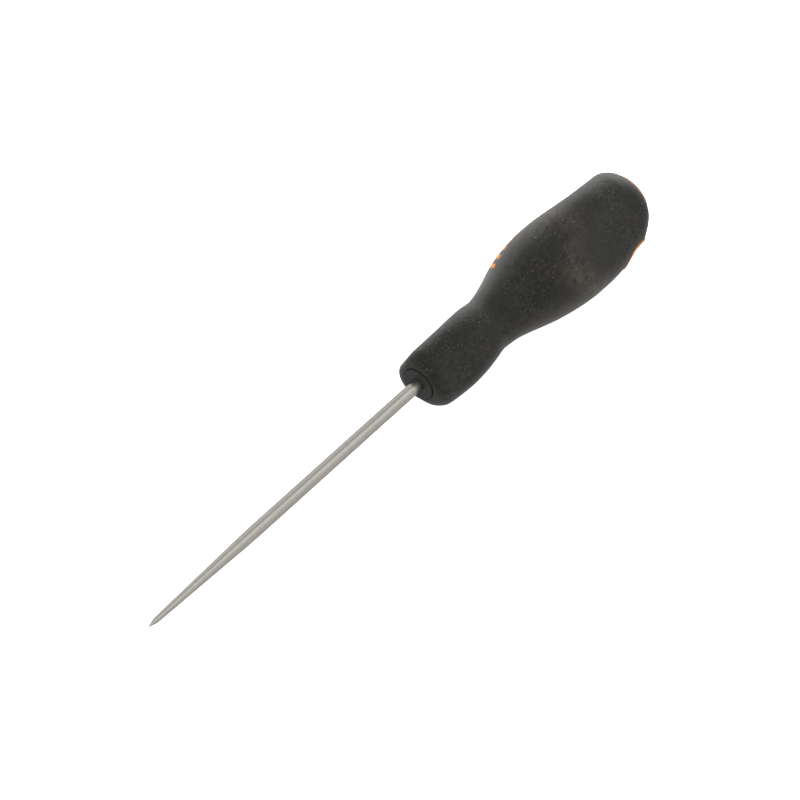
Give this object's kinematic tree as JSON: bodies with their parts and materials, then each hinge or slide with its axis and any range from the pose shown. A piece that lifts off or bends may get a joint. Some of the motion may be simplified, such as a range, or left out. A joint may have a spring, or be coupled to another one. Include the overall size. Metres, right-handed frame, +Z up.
{
  "type": "scratch awl",
  "caption": "Scratch awl lying down: round steel shank tapering to a sharp point, three-sided soft black handle with an orange-lined hanging hole, orange marks and an orange butt disc.",
  "frame": {"origin": "centre of the object's footprint on the surface it lies on", "axes": "+X along the tool towards the butt, +Z up, +Y to the side; the tool lies on one flat side of its handle and on its point, so its own axis falls about 4 degrees towards -X"},
  "size_m": [0.2234, 0.0312, 0.0317],
  "materials": {
    "steel": "satin, turned",
    "black_plastic": "moulded, slightly glossy",
    "orange_plastic": "moulded, satin",
    "black_rubber": "matt, lightly dusty"
  },
  "bodies": {
    "root": {"blade": "steel", "core": "black_plastic", "colour_shell": "orange_plastic", "soft_grip": "black_rubber", "end_cap": "orange_plastic"}
  },
  "joints": []
}
